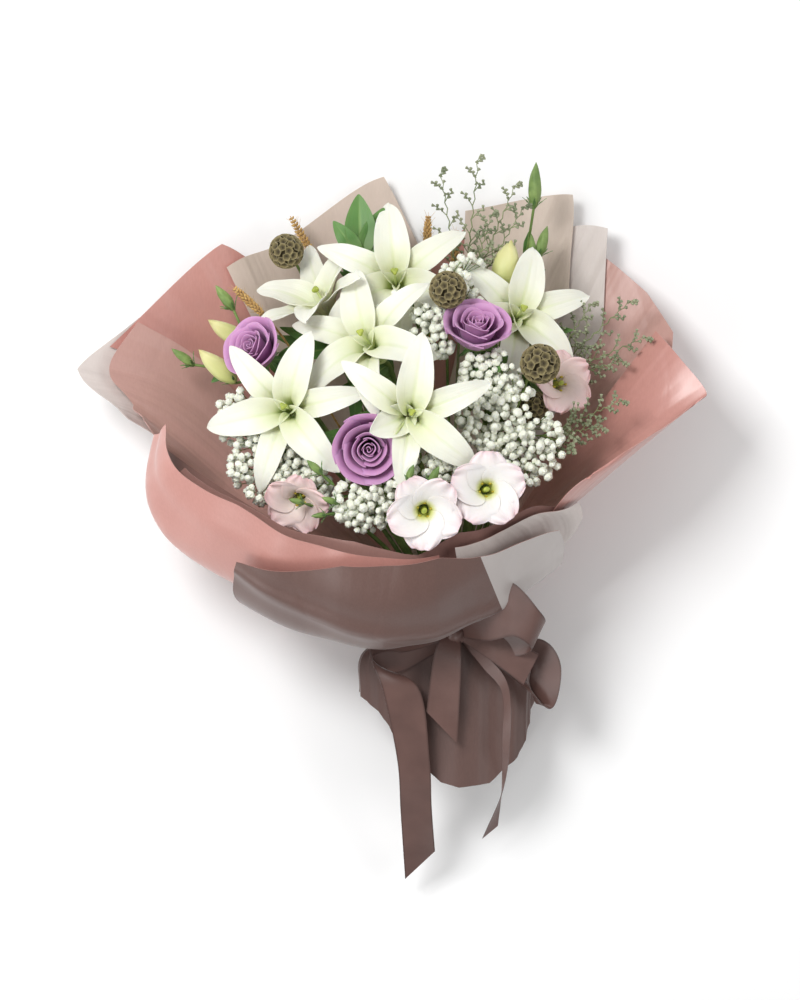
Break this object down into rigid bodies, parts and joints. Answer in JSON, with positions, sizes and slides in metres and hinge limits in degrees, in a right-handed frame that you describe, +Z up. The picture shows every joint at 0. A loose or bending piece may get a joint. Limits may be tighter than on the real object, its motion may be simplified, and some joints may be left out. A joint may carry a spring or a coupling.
{
  "type": "mixed flower bouquet",
  "caption": "Hand-tied mixed bouquet of lilies, roses, lisianthus, seed heads and fillers in folded two-tone paper with a satin ribbon bow.",
  "frame": {"origin": "bottom centre of the bounding box of the whole bouquet as it lies on its back", "axes": "+Y from the cut skirt and the tie towards the flower heads, +X to the bouquet's right as seen from above, +Z up, away from the surface it lies on"},
  "size_m": [0.5592, 0.6536, 0.216],
  "materials": {
    "paper_pink": "satin",
    "paper_taupe": "matte",
    "paper_pale": "matte",
    "paper_brown_rose": "matte",
    "satin_ribbon": "satin",
    "stem_green": "matte",
    "lily_petal": "satin",
    "rose_petal": "satin",
    "lisianthus_white": "satin",
    "lisianthus_pink": "satin",
    "cream_bud": "satin",
    "seed_head": "matte",
    "babys_breath": "matte",
    "sea_lavender": "matte",
    "golden_grass": "matte"
  },
  "bodies": {
    "root": {"babys_breath_front": "babys_breath", "babys_breath_left": "babys_breath", "babys_breath_right": "babys_breath", "babys_breath_top": "babys_breath", "cream_left_buds_1": "cream_bud", "cream_left_buds_2": "cream_bud", "cream_right_buds_1": "cream_bud", "golden_grass_left": "golden_grass", "golden_grass_low_left": "golden_grass", "golden_grass_top": "golden_grass", "lily_centre_behind": "lily_petal", "lily_front_centre": "lily_petal", "lily_front_left": "lily_petal", "lily_right": "lily_petal", "lily_top": "lily_petal", "lily_top_left": "lily_petal", "lisianthus_front_left": "lisianthus_pink", "lisianthus_front_right": "lisianthus_white", "lisianthus_left": "lisianthus_pink", "lisianthus_right": "lisianthus_pink", "paper_front_collar_and_skirt": "paper_brown_rose", "paper_inner_collar": "paper_pale", "paper_left_collar": "paper_pink", "paper_left_flap": "paper_pink", "paper_left_pink": "paper_pink", "paper_pale_left": "paper_pale", "paper_pale_right": "paper_pale", "paper_pink_back": "paper_pink", "paper_pink_right_back": "paper_pink", "paper_right_flap": "paper_pink", "paper_right_front": "paper_pale", "paper_taupe_left": "paper_taupe", "paper_taupe_right": "paper_taupe", "ribbon_with_bow": "satin_ribbon", "rose_centre": "rose_petal", "rose_left": "rose_petal", "rose_right": "rose_petal", "rose_top": "rose_petal", "sea_lavender_low_right": "sea_lavender", "sea_lavender_right": "sea_lavender", "sea_lavender_top": "sea_lavender", "seed_head_low_right": "seed_head", "seed_head_middle": "seed_head", "seed_head_right": "seed_head", "seed_head_top_left": "seed_head", "stem_of_left_buds": "stem_green", "stem_of_left_lilies": "stem_green", "stem_of_lisianthus_front_left": "stem_green", "stem_of_lisianthus_front_right": "stem_green", "stem_of_lisianthus_left": "stem_green", "stem_of_lisianthus_right": "stem_green", "stem_of_middle_lilies": "stem_green", "stem_of_right_buds": "stem_green", "stem_of_right_lilies": "stem_green", "stem_of_rose_centre": "stem_green", "stem_of_rose_left": "stem_green", "stem_of_rose_right": "stem_green", "stem_of_rose_top": "stem_green"}
  },
  "joints": []
}
